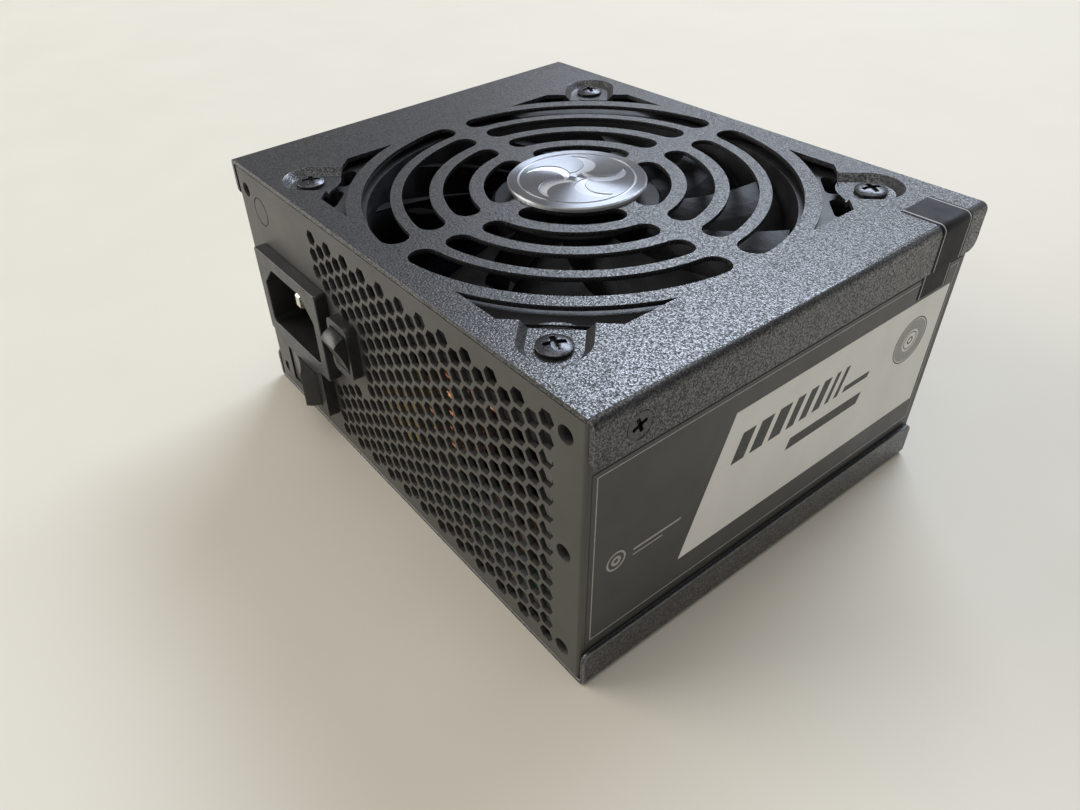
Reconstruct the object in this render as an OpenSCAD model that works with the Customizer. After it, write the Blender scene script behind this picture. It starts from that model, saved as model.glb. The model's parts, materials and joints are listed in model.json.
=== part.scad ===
// Small-form-factor computer power supply, built as separate pieces, in millimetres.
// Frame: origin at the middle of the underside, +Z up, the inlet panel faces -Y and
// the output sockets face +Y, so +X is on the right of someone who looks at the inlet.

/* [Housing] */
// Overall width across the sides
body_w = 125; // [124:0.5:128]
// Overall depth from the inlet panel to the output panel
body_d = 100; // [100:0.5:102]
// Height of the housing without the badge
body_h = 63.5; // [63:0.5:66]
// Thickness of the sheet metal
sheet_t = 1; // [0.8:0.1:1]
// Height of the turned-down sides of the cover
cover_side_h = 9.5; // [8:0.5:11]
// Height of the turned-up sides of the tray
tray_side_h = 9; // [8:0.5:10]

/* [Fan and grille] */
// Distance of the fan's axis from the middle of the housing, along X
fan_x = 2.5; // [0:0.5:4]
// Width of the fan's square frame
fan_w = 92; // [92:0.5:93]
// Thickness of the fan
fan_h = 15; // [14:0.5:15]
// Distance between the fan's screws
fan_pitch = 82.5; // [82:0.5:83]
// Number of fan blades
blade_count = 11; // [7:1:13]
// Width of the four spokes of the grille
spoke_w = 4.25; // [3:0.25:6]
// How far the screw pads are stamped below the cover
pad_drop = 1.5; // [1:0.1:2]
// Radius of the round badge
badge_r = 14.5; // [14:0.5:16]
// Thickness of the round badge
badge_t = 1; // [0.6:0.1:1.5]

/* [Inlet panel] */
// Distance between the left and right mounting holes
mount_dx = 113; // [112:0.5:113]
// Distance between the top and bottom mounting holes
mount_dz = 51.5; // [51:0.5:51.5]
// Height of the lower mounting holes above the underside
mount_z = 6; // [6:0.5:6.5]
// Radius of a mounting hole, for a #6-32 screw
mount_r = 1.75; // [1.5:0.05:1.75]
// Distance across the flats of a vent hole
vent_af = 3.2; // [2.4:0.1:3.3]
// Middle of the power inlet, as X and Z
inlet_at = [-37, 33.9]; // [-40:0.1:40]
// Middle of the power switch, as X and Z
power_at = [-37.2, 15.3]; // [-40:0.1:40]
// Middle of the fan mode switch, as X and Z
mode_at = [-13.6, 35.9]; // [-40:0.1:40]
// How far the inlet's rim stands out of the panel
inlet_proud = 3; // [2:0.1:4]
// Tilt of the power switch's rocker at either end of its travel
power_tilt = 16; // [8:1:16]
// Tilt of the mode switch's rocker at either end of its travel
mode_tilt = 20; // [8:1:20]

/* [Hidden] */

$fn = 64;
over = 0.5;                             // how far a cutting tool runs past a face
seam = 0.2;                             // gap between two sheets that lie side by side
hair = 0.05;                            // gap round a piece that is pressed or glued in

// Outer faces
half_w = body_w / 2;
front_y = -body_d / 2;
back_y = body_d / 2;
plate_z = body_h - sheet_t;             // underside of the cover's plate

// The frame: a sheet bent round the front and both sides, inside the cover and the tray
frame_x = half_w - sheet_t - seam;      // outer face of a side wall
frame_lo = sheet_t + seam;
frame_hi = plate_z - seam;
bend_r = 1.2;                           // outer radius of the frame's bends
cover_bend_r = 1.5;
side_corner_r = 2;                      // rounding of the side flanges' free corners
back_x = frame_x - sheet_t - seam;      // outer face of the output panel's flanges
back_flange_d = 7.4;
tab_size_y = 9;                         // width of the tabs that the tray is screwed to
tab_reach = 10;

// Screws and rivets
csk_r = 2.85;                           // head radius of a countersunk screw
screw_r = 1.5;                          // thread radius of a countersunk screw
csk_sink = 0.15;                        // how far a countersunk head lies below the sheet's face
cover_screw_y = 40.8;
cover_screw_z = body_h - 5.3;
tray_screw_x = 55.2;
tray_screw_y = [-38, 41.5];
rivet_r = 1.2;
rivet_y = back_y - 5;
rivet_z = [12, 46];

// Fan
fan_at = [fan_x, 0];
fan_top = plate_z - pad_drop;
fan_bot = fan_top - fan_h;
fan_bore_r = 44.4;
fan_hole_r = 2.15;
hub_r = 18;
hub_wall = 1.3;
blade_r = 43.4;
shaft_r = 1.5;
bearing_gap = 0.03;                     // running clearance between shaft and bearing
bearing_r = 3;
tube_r = 4;
flange_t = 3.4;                         // thickness of the fan frame's two flanges

// Grille: inner and outer radius of each ring of slots
grille_rings = [[14, 19.5], [22.5, 28.1], [30.9, 36.7], [39.1, 45.2]];
corner_arc_r = 48.3;                    // inner edge of the corner openings
corner_half = [45, 44.5];               // their straight edges, from the fan's axis
corner_cut = 52.9;                      // their slanting edge, from the fan's axis
pad_r = 4.7;                            // floor of a screw pad
pad_slope = 1.5;                        // how much wider a pad is at the top
pad_wall = 0.5;                         // how much wider a pad's underside is than its floor
pad_reach = fan_pitch / 2 * sqrt(2) - corner_cut;

// Vent field
vent_r = vent_af / sqrt(3);
vent_dx = 3.455;
vent_dz = 4.04;
vent_x0 = -23.9;
vent_z0 = 57.7;
vent_cols = 23;
vent_rows = 14;                         // rows in the taller columns
// Rows kept above and below the inlet and the switches, in the first columns
vent_keep = [[3, 4], [3, 4], [4, 5], [4, 5], [4, 5]];

// Inlet, for a 10 A plug
inlet_rim = [31, 23];
inlet_body = [27.2, 20];
inlet_hole = [24.6, 16.4];
inlet_chamfer = 5;
inlet_floor_y = front_y - inlet_proud + 17;
inlet_back_y = inlet_floor_y + 2;
blade_size = [2, 4];                    // section of a contact blade
blade_tail_y = inlet_back_y + 5;
// Each blade: X and Z from the middle of the inlet, depth of its tip behind the rim
blades = [[-7, -1.7, 4.6], [7, -1.7, 4.6], [0, 2.3, 2.2]];

// Rocker switches. Rim, body and window are sizes along the rocking direction and across
// it, proud is the height of the rim, depth is how far the pivot lies behind the rim.
power_rim = [21, 14];
power_rim_r = 0.9;
power_body = [19, 12.4];
power_window = [15.2, 10];
power_proud = 2.8;
power_depth = 2.4;
power_pivot_r = 1;
power_pin_l = 1;
power_end_r = 7.58;                     // radius of the rocker's ends about its pivot
power_face = 3.06;                      // height of the middle of its face above the pivot
power_dish_r = 22;                      // radius that its face is hollowed to
power_tabs = [-5.5, 1.5];
mode_rim = [13.6, 8.8];
mode_rim_r = 1.8;
mode_body = [12, 7.6];
mode_window = [9.9, 6.4];
mode_proud = 2.5;
mode_depth = 1.2;
mode_pivot_r = 0.7;
mode_pin_l = 0.6;
mode_end_r = 4.8;
mode_face = 2.49;
mode_dish_r = 30;
mode_tabs = [-3.6, 3.6];
pivot_gap = 0.05;
switch_depth = 12;
tab_size = [0.8, 8, 4.8];
rocker_gap = 0.2;                       // gap beside a rocker

// Boards and what stands on them
board_lo = 6;
board_t = 1.6;
board_z = board_lo + board_t;           // top of the main board
board_x = 58;
board_y = [-46, 36];
notch_x = -19;                          // the board stops short of the inlet and switches
notch_y = -25;
standoff_at = [[54, -30], [54.5, 32.6], [-54, 30], [-54, -21]];
drop_y = -23.7;                         // where the inlet's wires come down to the board
socket_board_y = 37.2;
socket_board_t = 1.6;

// Output sockets
cell_pitch = 4.2;
cell_w = 3.5;
socket_wall = 1.1;
socket_back = socket_board_y + socket_board_t;
socket_front = back_y + 0.6;            // the sockets stand a little out of the panel
socket_floor = socket_back + 2.2;       // bottom of the cells
pin_w = 1.07;
pin_tip = socket_front - 4.2;
upper_z = 35;
lower_z = 16;
// Each socket: X of its middle, Z of its middle, number of columns of two cells
board_sockets = [[-37, upper_z, 9], [-3, upper_z, 5]];
eight_sockets = [[21.5, upper_z, 4], [-48, lower_z, 4], [-24, lower_z, 4], [0, lower_z, 4],
                 [24, lower_z, 4], [48, lower_z, 4]];
six_sockets = [[44, upper_z, 3]];

// ---------------------------------------------------------------- shared shapes

// Box between two opposite corners
module box_between(lo, hi) translate(lo) cube(hi - lo);

// A flat shape drawn in X and Z, made solid from y0 to y1
module along_y(y0, y1) translate([0, y1, 0]) rotate([90, 0, 0]) linear_extrude(y1 - y0) children();

// A flat shape drawn in Y and Z, made solid from x0 to x1
module along_x(x0, x1) translate([x0, 0, 0]) rotate([90, 0, 90]) linear_extrude(x1 - x0) children();

module rounded_rect(size, r) {
    square([size[0] - 2 * r, size[1]], center = true);
    square([size[0], size[1] - 2 * r], center = true);
    for (sx = [-1, 1], sy = [-1, 1])
        translate([sx * (size[0] / 2 - r), sy * (size[1] / 2 - r)]) circle(r);
}

// Rectangle from y = 0 to h whose two upper corners are round
module arch(w, h, r) {
    translate([-w / 2, 0]) square([w, h - r]);
    translate([-w / 2 + r, 0]) square([w - 2 * r, h]);
    for (s = [-1, 1]) translate([s * (w / 2 - r), h - r]) circle(r);
}

// Section of a sheet bent down at both edges
module channel(w, h, r) {
    difference() {
        arch(w, h, r);
        translate([0, -sheet_t]) arch(w - 2 * sheet_t, h, r - sheet_t + 0.1);
    }
}

// Slot of half-width r along Y, with round ends about y = from and y = to
module round_slot(from, to, r) {
    translate([-r, from]) square([2 * r, to - from]);
    for (y = [from, to]) translate([0, y]) circle(r);
}

// Cuts the corner of a sheet to a radius; the corner is at the origin, the sheet in +Y, +Z
module corner_cutter(r) {
    difference() {
        translate([-over, -over]) square(r + over);
        translate([r, r]) circle(r);
    }
}

// Rounds the four free corners of a channel's side flanges, at height z
module flange_corners(z, up) {
    for (end = [0, 1]) mirror([0, end, 0])
        along_x(-half_w - over, half_w + over)
            translate([front_y, z]) mirror([0, up]) corner_cutter(side_corner_r);
}

// Cross recess cut into a head that faces +Z, with its face at z = 0
module cross_recess(size, depth) {
    for (turn = [0, 90]) rotate([0, 0, turn + 20])
        translate([-size / 2, -size / 8, -depth]) cube([size, size / 4, depth + over]);
}

// Countersunk screw that faces +Z, with its head just below z = 0
module csk_screw(length) {
    difference() {
        union() {
            translate([0, 0, -sheet_t])
                cylinder(r1 = screw_r, r2 = csk_r - 2 * csk_sink, h = sheet_t - csk_sink);
            translate([0, 0, -length]) cylinder(r = screw_r, h = length - sheet_t);
        }
        translate([0, 0, -csk_sink]) cross_recess(3, 0.8);
    }
}

// Hole for a countersunk screw in a sheet whose outer face is at z = 0
module csk_hole() {
    translate([0, 0, -sheet_t]) cylinder(r1 = screw_r, r2 = csk_r, h = sheet_t);
    translate([0, 0, -sheet_t - over]) cylinder(r = screw_r, h = sheet_t);
    cylinder(r = csk_r, h = over);
}

// Places its children at each of the cover's side screws, facing outwards
module at_cover_screws() {
    for (side = [-1, 1], y = [-cover_screw_y, cover_screw_y])
        translate([side * half_w, y, cover_screw_z]) rotate([0, side * 90, 0]) children();
}

// Places its children at each of the tray's screws, facing down
module at_tray_screws() {
    for (side = [-1, 1], y = tray_screw_y)
        translate([side * tray_screw_x, y, 0]) rotate([180, 0, 0]) children();
}

// Places its children at each of the fan's screws, with -X towards the fan's axis
module at_fan_screws(z) {
    for (k = [0:3]) translate([fan_at[0], fan_at[1], z]) rotate([0, 0, 45 + 90 * k])
        translate([fan_pitch / 2 * sqrt(2), 0, 0]) children();
}

function unit(v) = v / norm(v);

// Closed tube of 8 sides along a list of points
module tube(path, r) {
    sides = 8;
    last = len(path) - 1;
    along = [for (i = [0:last]) unit(path[min(i + 1, last)] - path[max(i - 1, 0)])];
    rings = [for (i = [0:last]) let (
        u = unit(cross(along[i], [0.31, 0.17, 0.94])),
        v = cross(along[i], u)
    ) for (k = [0:sides - 1]) path[i] + r * (cos(k * 360 / sides) * u + sin(k * 360 / sides) * v)];
    skin = [for (i = [0:last - 1], k = [0:sides - 1]) let (n = (k + 1) % sides) each [
        [i * sides + k, i * sides + n, (i + 1) * sides + n],
        [i * sides + k, (i + 1) * sides + n, (i + 1) * sides + k]
    ]];
    ends = [[for (k = [sides - 1:-1:0]) k], [for (k = [0:sides - 1]) last * sides + k]];
    polyhedron(rings, [for (f = concat(skin, ends)) [for (i = [len(f) - 1:-1:0]) f[i]]]);
}

// ---------------------------------------------------------------- housing

// One quarter of a ring of the grille, between two spokes, with round ends a hair
// narrower than the slot
module grille_slot(r_in, r_out) {
    end_r = (r_out - r_in) / 2 - 0.03;
    mid_r = (r_out + r_in) / 2;
    a = asin((spoke_w / 2 + end_r) / mid_r);
    reach = 2 * r_out;
    intersection() {
        difference() {
            circle(r_out, $fn = 128);
            circle(r_in, $fn = 128);
        }
        polygon([[0, 0], reach * [cos(a), sin(a)], [reach, reach], reach * [sin(a), cos(a)]]);
    }
    for (t = [a, 90 - a]) translate(mid_r * [cos(t), sin(t)]) circle(end_r);
}

// Opening beyond the rings, in the first quarter
module grille_corner() {
    cut = corner_cut * sqrt(2);
    difference() {
        polygon([
            [0, 0], [corner_half[0], 0], [corner_half[0], cut - corner_half[0]],
            [cut - corner_half[1], corner_half[1]], [0, corner_half[1]]
        ]);
        circle(corner_arc_r, $fn = 128);
    }
}

module grille() {
    for (k = [0:3]) rotate(90 * k) for (ring = grille_rings) grille_slot(ring[0], ring[1]);
    for (sx = [0, 1], sy = [0, 1]) mirror([sx, 0]) mirror([0, sy]) grille_corner();
}

// A screw pad's dish: round behind the screw, straight towards the fan's axis.
// It is r wide at z = 0 and pad_slope wider at the top.
module pad_dish(r, h, reach) {
    cylinder(r1 = r, r2 = r + pad_slope, h = h);
    rotate([90, 0, -90]) linear_extrude(reach)
        polygon([[-r, 0], [r, 0], [r + pad_slope, h], [-r - pad_slope, h]]);
}

module top_cover() color("dimgray") {
    difference() {
        union() {
            difference() {
                along_y(front_y, back_y) translate([0, body_h - cover_side_h])
                    channel(body_w, cover_side_h, cover_bend_r);
                translate([fan_at[0], fan_at[1], plate_z - over])
                    linear_extrude(sheet_t + 2 * over) grille();
            }
            at_fan_screws(fan_top) pad_dish(pad_r + pad_wall, pad_drop, pad_reach);
        }
        at_fan_screws(fan_top + sheet_t) pad_dish(pad_r, pad_drop, pad_reach + over);
        at_fan_screws(fan_top - over) cylinder(r = fan_hole_r, h = sheet_t + 2 * over);
        at_cover_screws() csk_hole();
        flange_corners(body_h - cover_side_h, 0);
    }
}

// Vent holes as flat hexagons in X and Z
module vents() {
    for (col = [0:vent_cols - 1]) {
        odd = col % 2;
        rows = vent_rows - odd;
        keep = col < len(vent_keep) ? vent_keep[col] : [rows, 0];
        for (row = [0:rows - 1]) if (row < keep[0] || row >= rows - keep[1])
            translate([vent_x0 + col * vent_dx, vent_z0 - (row + odd / 2) * vent_dz])
                circle(vent_r, $fn = 6);
    }
}

// Places its children at the inlet panel's five mounting holes, in X and Z
module at_mount_holes() {
    for (sx = [-1, 1], z = [mount_z, mount_z + mount_dz]) translate([sx * mount_dx / 2, z]) children();
    translate([mount_dx / 2, mount_z + mount_dz / 2]) children();
}

module main_frame() color("#4a4945") {
    collar_r = mount_r + 0.8;
    collar_d = 1.6;
    mark_at = [-50, 54.1];
    mark_r = 3.5;
    mark_line = 0.35;
    difference() {
        union() {
            translate([0, 0, frame_lo]) linear_extrude(frame_hi - frame_lo) difference() {
                rotate(180) translate([0, -back_y]) arch(2 * frame_x, body_d, bend_r);
                translate([sheet_t - frame_x, front_y + sheet_t])
                    square([2 * (frame_x - sheet_t), body_d]);
            }
            along_y(front_y + sheet_t, front_y + sheet_t + collar_d) at_mount_holes() circle(collar_r);
            // Tabs that the tray is screwed to
            for (side = [-1, 1], y = tray_screw_y)
                translate([side * (frame_x - (sheet_t + tab_reach) / 2), y, frame_lo + sheet_t / 2])
                    cube([tab_reach, tab_size_y, sheet_t], center = true);
        }
        along_y(front_y - over, front_y + sheet_t + over) {
            vents();
            translate(inlet_at) square(inlet_body, center = true);
            translate(power_at) square(power_body, center = true);
            translate(mode_at) square([mode_body[1], mode_body[0]], center = true);
        }
        along_y(front_y - over, front_y + sheet_t + collar_d + over) at_mount_holes() circle(mount_r);
        // Round mark stamped into the panel
        along_y(front_y - over, front_y + 0.25) translate(mark_at) difference() {
            circle(mark_r);
            circle(mark_r - mark_line);
        }
        at_cover_screws() translate([0, 0, -body_w / 4]) cylinder(r = screw_r, h = body_w / 4);
        at_tray_screws() translate([0, 0, -10]) cylinder(r = screw_r, h = 10);
        for (side = [-1, 1], z = rivet_z) translate([side * frame_x, rivet_y, z])
            rotate([0, side * 90, 0]) rivet_hole();
    }
}

rivet_head_r = 2;
rivet_sink = 0.6;                       // depth of a rivet's countersunk head
rivet_l = 3;

module rivet_hole() {
    translate([0, 0, -rivet_sink]) cylinder(r1 = rivet_r, r2 = rivet_head_r, h = rivet_sink);
    cylinder(r = rivet_head_r, h = over);
    translate([0, 0, -rivet_l - 1]) cylinder(r = rivet_r, h = rivet_l + 1);
}

module panel_rivets() color("gray") {
    for (side = [-1, 1], z = rivet_z) translate([side * frame_x, rivet_y, z])
        rotate([0, side * 90, 0]) {
            translate([0, 0, -rivet_sink]) cylinder(r1 = rivet_r, r2 = rivet_head_r, h = rivet_sink);
            translate([0, 0, -rivet_l]) cylinder(r = rivet_r, h = rivet_l);
            translate([0, 0, -rivet_l]) cylinder(r = rivet_head_r, h = rivet_sink);
        }
}

module bottom_tray() color("dimgray") {
    difference() {
        along_y(front_y, back_y) translate([0, tray_side_h]) mirror([0, 1])
            channel(body_w, tray_side_h, cover_bend_r);
        at_tray_screws() csk_hole();
        flange_corners(tray_side_h, 1);
    }
}

module output_panel() color("#3c3b39") {
    clear = 0.15;
    difference() {
        translate([0, 0, frame_lo]) linear_extrude(frame_hi - frame_lo) difference() {
            translate([0, back_y - back_flange_d]) arch(2 * back_x, back_flange_d, bend_r);
            translate([sheet_t - back_x, back_y - body_d])
                square([2 * (back_x - sheet_t), body_d - sheet_t]);
        }
        for (s = concat(board_sockets, eight_sockets, six_sockets))
            along_y(back_y - sheet_t - over, back_y + over) translate([s[0], s[1]])
                square(socket_size(s[2]) + 2 * clear * [1, 1], center = true);
        for (side = [-1, 1], z = rivet_z) translate([side * frame_x, rivet_y, z])
            rotate([0, side * 90, 0]) rivet_hole();
        // Room over the tabs that the tray is screwed to
        for (side = [-1, 1]) translate([side * back_x, tray_screw_y[1], frame_lo])
            cube([4 * sheet_t, tab_size_y + 2 * seam, 2 * (sheet_t + seam)], center = true);
    }
}

module cover_screws() color("#222222") at_cover_screws() csk_screw(5);

module tray_screws() color("#222222") at_tray_screws() csk_screw(4.5);

// Pan-head screws that hold the fan under the cover
module fan_screws() color("#1c1c1c") {
    head_r = 3.15;
    head_h = 1.35;
    dome_r = 8;
    shank_r = fan_hole_r - 0.25;
    shank_l = 9;
    at_fan_screws(fan_top + sheet_t) {
        difference() {
            intersection() {
                cylinder(r = head_r, h = head_h);
                translate([0, 0, head_h - dome_r]) sphere(dome_r);
            }
            translate([0, 0, head_h]) cross_recess(3.9, 0.9);
        }
        translate([0, 0, -shank_l]) cylinder(r = shank_r, h = shank_l);
    }
}

// Round badge on the middle of the grille, with a plain engraved pinwheel in a ring
module badge() color("silver") {
    engrave = 0.18;
    bevel = 0.3;
    ring_r = 12.4;
    petal_r = 4.6;
    translate([fan_at[0], fan_at[1], body_h]) difference() {
        union() {
            cylinder(r = badge_r, h = badge_t - bevel);
            translate([0, 0, badge_t - bevel]) cylinder(r1 = badge_r, r2 = badge_r - bevel, h = bevel);
        }
        translate([0, 0, badge_t - engrave]) linear_extrude(engrave + over) {
            difference() {
                circle(ring_r);
                circle(ring_r - 0.45);
            }
            for (k = [0:4]) rotate(72 * k) translate([petal_r + 1.6, 0]) difference() {
                circle(petal_r);
                translate([0.6, 2.4]) circle(petal_r);
            }
        }
    }
}

// ---------------------------------------------------------------- labels

label_t = 0.12;
label_z = [10.6, 52.2];
label_y = [-48.9, 49];

// A wide film on the right side wall, with a light panel printed over most of it
module side_label() color("#3a3936")
    box_between([frame_x, label_y[0], label_z[0]], [frame_x + label_t, label_y[1], label_z[1]]);

module side_label_panel() color("#aaa6a0")
    along_x(frame_x + label_t, frame_x + label_t + 0.05)
        polygon([[-26.5, 17.4], [-16.3, 46.8], [47.3, 46.8], [47, 17.4]]);

module rating_label() color("#c9c6bf")
    box_between([-frame_x - label_t, -40, 12], [-frame_x, 40, 50]);

// Film folded over the cover's edge, across the hidden side screw
module warranty_seal() color("#191919") {
    film = 0.1;
    y = [35.2, 44.8];
    top_in = 8.8;
    low = 47.5;
    r = cover_bend_r;
    bottom = body_h - cover_side_h;
    along_y(y[0], y[1]) difference() {
        union() {
            translate([half_w - top_in, body_h - r]) square([top_in - r, r + film]);
            translate([half_w - r, bottom]) square([r + film, body_h - r - bottom]);
            translate([half_w - r, body_h - r]) circle(r + film);
        }
        translate([half_w - 2 * top_in, bottom - over]) square([2 * top_in, body_h - bottom - r + over]);
        translate([half_w - 2 * top_in, bottom]) square([2 * top_in - r, body_h - bottom]);
        translate([half_w - r, body_h - r]) circle(r);
    }
    // The tail steps in from the flange to the label below it
    box_between([half_w, y[0], bottom], [half_w + film, y[1], body_h - r]);
    box_between([frame_x + label_t, y[0], low], [frame_x + label_t + film, y[1], bottom - 0.3]);
}

// ---------------------------------------------------------------- inlet

// Mouth of the inlet: a rectangle with two slanting upper corners
module inlet_mouth() {
    w = inlet_hole[0] / 2;
    h = inlet_hole[1] / 2;
    c = inlet_chamfer;
    low = 1;
    polygon([[-w, low - h], [low - w, -h], [w - low, -h], [w, low - h], [w, h - c], [w - c, h],
             [c - w, h], [-w, h - c]]);
}

module inlet_housing() color("#262626") {
    rim_r = 0.8;
    translate([inlet_at[0], 0, inlet_at[1]]) difference() {
        union() {
            along_y(front_y - inlet_proud, front_y) rounded_rect(inlet_rim, rim_r);
            along_y(front_y, inlet_back_y) square(inlet_body - 0.2 * [1, 1], center = true);
            // Snap-in wedges behind the panel
            for (side = [0, 1]) mirror([side, 0, 0]) translate([0, 0, -4]) linear_extrude(8)
                polygon([[inlet_body[0] / 2 - 0.3, front_y + sheet_t + 0.1],
                         [inlet_body[0] / 2 + 0.8, front_y + sheet_t + 0.1],
                         [inlet_body[0] / 2 - 0.3, front_y + 9]]);
        }
        along_y(front_y - inlet_proud - over, inlet_floor_y) inlet_mouth();
        for (b = blades) along_y(inlet_floor_y - over, inlet_back_y + over) translate([b[0], b[1]])
            square(blade_size, center = true);
    }
}

// Live, neutral and earth blades, with their solder tails
module inlet_pins() color("#d8d3c4") {
    point = 0.7;
    h = blade_size[1] / 2;
    for (b = blades) translate([inlet_at[0] + b[0], 0, inlet_at[1] + b[1]]) {
        tip_y = front_y - inlet_proud + b[2];
        along_y(tip_y + point, blade_tail_y) square(blade_size, center = true);
        // Tapered tip
        along_x(-blade_size[0] / 2, blade_size[0] / 2)
            polygon([[tip_y + point, -h], [tip_y, point - h], [tip_y, h - point], [tip_y + point, h]]);
    }
}

// ---------------------------------------------------------------- rocker switches
// Each is drawn with its rocking direction along X, its pivot on the Z axis at the origin
// and its front towards -Y, then put in place by at_power or at_mode.

module at_power() translate([power_at[0], front_y - power_proud + power_depth, power_at[1]])
    children();

module at_mode() translate([mode_at[0], front_y - mode_proud + mode_depth, mode_at[1]])
    rotate([0, -90, 0]) children();

// Moulded body with a rim, a window for the rocker and pockets for its pivots
module switch_frame(rim, rim_r, body, window, proud, depth, pivot_r, pin_l) {
    panel = proud - depth;
    lip = 1;                            // depth of the window's narrow part
    wide = 0.5;                         // how much longer the space is behind it
    cup = 3.6;                          // depth of that space behind the pivot
    hook = 0.6;                         // how far the snap-in wedges stand out
    difference() {
        union() {
            along_y(-depth, panel) rounded_rect(rim, rim_r);
            along_y(panel, panel + switch_depth) square(body - seam * [1, 1], center = true);
            for (side = [0, 1]) mirror([side, 0, 0]) translate([0, 0, -2]) linear_extrude(4)
                polygon([[body[0] / 2 - hook / 2, panel + sheet_t + hair],
                         [body[0] / 2 + hook, panel + sheet_t + hair],
                         [body[0] / 2 - hook / 2, panel + switch_depth / 2]]);
        }
        along_y(-depth - over, lip - depth) square(window, center = true);
        along_y(lip - depth, cup) square(window + [2 * wide, 0], center = true);
        cylinder(r = pivot_r + pivot_gap, h = window[1] + 2 * (pin_l - rocker_gap / 2), center = true);
    }
}

// Rocker with a hollowed face, ends that are arcs about the pivot, and two pivot pins
module rocker(window, end_r, face, dish_r, pivot_r, pin_l) {
    belly = 1.6;                        // depth of the rocker behind its pivot
    heel = 0.3;                         // the same at its ends
    w = window[1] - 2 * rocker_gap;
    translate([0, 0, -w / 2]) linear_extrude(w) difference() {
        intersection() {
            circle(end_r, $fn = 96);
            translate([-end_r, -end_r]) square([2 * end_r, end_r + belly]);
        }
        translate([0, -face - dish_r]) circle(dish_r, $fn = 192);
        for (side = [0, 1]) mirror([side, 0])
            polygon([[end_r + over, heel], [end_r + over, belly + over], [pivot_r + 1, belly + over]]);
    }
    cylinder(r = pivot_r, h = w + 2 * pin_l, center = true);
}

// Flat tabs out of the back of a switch
module switch_tabs(proud, depth, places) {
    back = proud - depth + switch_depth;
    for (x = places) translate([x, back + tab_size[1] / 2, 0]) cube(tab_size, center = true);
}

module power_switch_frame() color("#242424") at_power()
    switch_frame(power_rim, power_rim_r, power_body, power_window, power_proud, power_depth,
                 power_pivot_r, power_pin_l);

module power_switch_rocker() color("#1b1b1c") at_power() rotate([0, 0, -power_tilt])
    rocker(power_window, power_end_r, power_face, power_dish_r, power_pivot_r, power_pin_l);

module power_switch_contacts() color("#cfcabb")
    at_power() switch_tabs(power_proud, power_depth, power_tabs);

module mode_switch_frame() color("#242424") at_mode()
    switch_frame(mode_rim, mode_rim_r, mode_body, mode_window, mode_proud, mode_depth,
                 mode_pivot_r, mode_pin_l);

module mode_switch_rocker() color("#3b3a3c") at_mode() rotate([0, 0, -mode_tilt])
    rocker(mode_window, mode_end_r, mode_face, mode_dish_r, mode_pivot_r, mode_pin_l);

module mode_switch_contacts() color("#cfcabb")
    at_mode() switch_tabs(mode_proud, mode_depth, mode_tabs);

// ---------------------------------------------------------------- fan

motor_r = 17.5;
base_t = 2;

module at_fan(z) translate([fan_at[0], fan_at[1], z]) children();

// Two slots beside the web that joins a corner of the fan's flanges to its ring
module corner_slots() {
    slot_r = 1.6;
    slot_at = 51.9;                     // distance of the slots from the fan's axis
    web = 2.4;
    slot_end = 9.5;                     // how far the slots reach from the corner's diagonal
    for (k = [0:3], side = [0, 1]) rotate(45 + 90 * k) mirror([0, side]) translate([slot_at, 0])
        round_slot(web / 2 + slot_r, slot_end - slot_r, slot_r);
}

module fan_frame() color("#202122") {
    ring_r = 45.6;
    post_r = 4.2;
    strut_w = 3.4;
    at_fan(fan_bot) {
        difference() {
            union() {
                for (z = [0, fan_h - flange_t]) translate([0, 0, z])
                    linear_extrude(flange_t) rounded_rect([fan_w, fan_w], 4);
                intersection() {
                    cylinder(r = ring_r, h = fan_h, $fn = 128);
                    translate([-fan_w / 2, -fan_w / 2, 0]) cube([fan_w, fan_w, fan_h]);
                }
                for (sx = [-1, 1], sy = [-1, 1]) translate([sx, sy, 0] * fan_pitch / 2)
                    cylinder(r = post_r, h = fan_h);
            }
            translate([0, 0, -over]) cylinder(r = fan_bore_r, h = fan_h + 2 * over, $fn = 128);
            for (sx = [-1, 1], sy = [-1, 1]) translate([sx * fan_pitch / 2, sy * fan_pitch / 2, -over])
                cylinder(r = fan_hole_r, h = fan_h + 2 * over);
            translate([0, 0, -over]) linear_extrude(fan_h + 2 * over) corner_slots();
        }
        // Motor base on four slanting struts, with the tube that holds the bearing
        difference() {
            union() {
                cylinder(r = motor_r, h = base_t);
                cylinder(r = tube_r, h = 10);
                for (k = [0:3]) rotate([0, 0, 22 + 90 * k]) translate([0, -strut_w / 2, 0])
                    cube([fan_bore_r + 0.8, strut_w, base_t]);
            }
            translate([0, 0, base_t]) cylinder(r = bearing_r, h = 10);
            translate([0, 0, 1]) cylinder(r = shaft_r + 0.3, h = 10);
        }
    }
}

// Points of one blade: a thin sheet that twists and leans forward as it leaves the hub.
// s runs from the hub to the tip, c from the leading edge to the trailing edge.
blade_lean = 22;
function blade_point(s, c, side) = let (
    r = hub_r - 0.7 + (blade_r - hub_r + 0.7) * s,
    spread = 30 - 6 * s,
    a = blade_lean * s + spread * (0.5 - c),
    rise = 10.2 - 2.6 * s,
    bow = 1.5 * sin(180 * c),
    z = 7.7 + rise * (0.5 - c) + bow + side * (0.55 - 0.2 * s) * (1 - 0.5 * abs(2 * c - 1))
) [r * cos(a), r * sin(a), z];

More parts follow.
